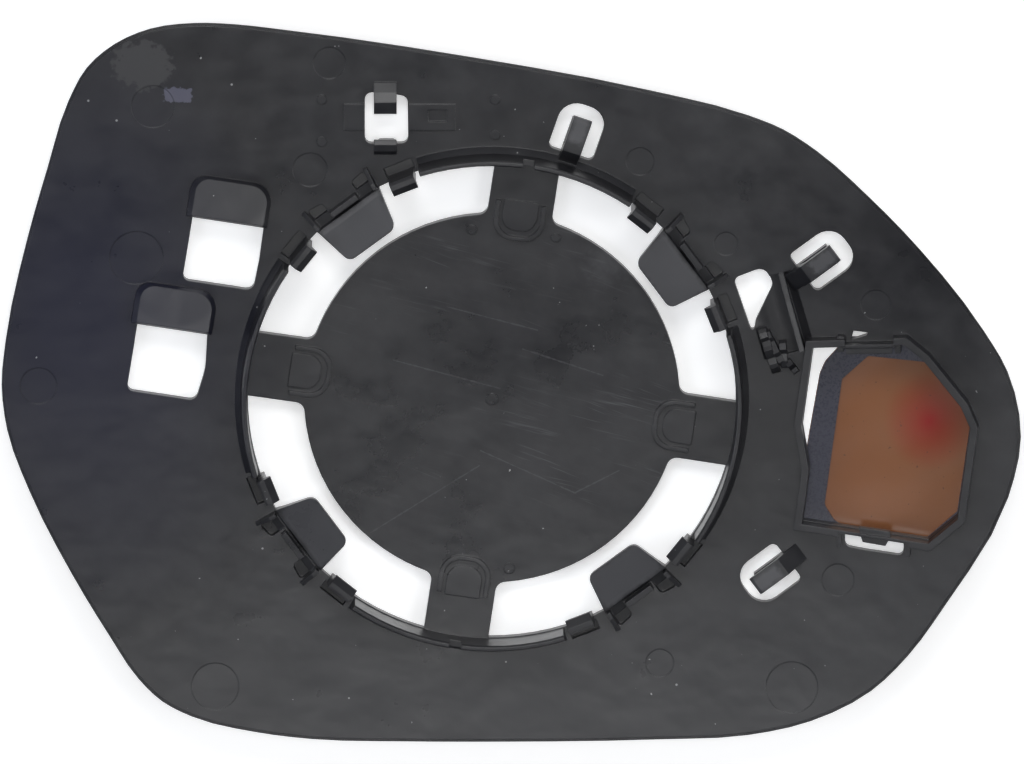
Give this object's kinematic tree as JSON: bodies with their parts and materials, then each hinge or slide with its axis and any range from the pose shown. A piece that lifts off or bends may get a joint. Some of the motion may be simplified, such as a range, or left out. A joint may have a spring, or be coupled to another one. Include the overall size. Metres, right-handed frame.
{
  "type": "car door mirror glass",
  "caption": "Convex mirror pane bonded to a moulded clip-on backing plate with an actuator ring, hooded windows and a lamp socket, lying on its face.",
  "frame": {"origin": "under the middle of the plate's outline, at the lowest point of the bowed glass front, which faces the floor", "axes": "+X along the plate towards its pointed end with the lamp socket, +Y up the plate towards its long slanted edge, +Z out of the plate's back"},
  "size_m": [0.188, 0.1358, 0.013],
  "materials": {
    "plate_black": "fine-grained moulding, worn and scratched",
    "sheet_white": "matte bonding sheet",
    "mask_dark": "printed dark film",
    "mirror_pane": "silvered front, brown coating behind the lamp window"
  },
  "bodies": {
    "root": {"backing_plate": "plate_black", "adhesive_sheet": "sheet_white", "light_mask": "mask_dark", "mirror_glass": "mirror_pane"}
  },
  "joints": []
}
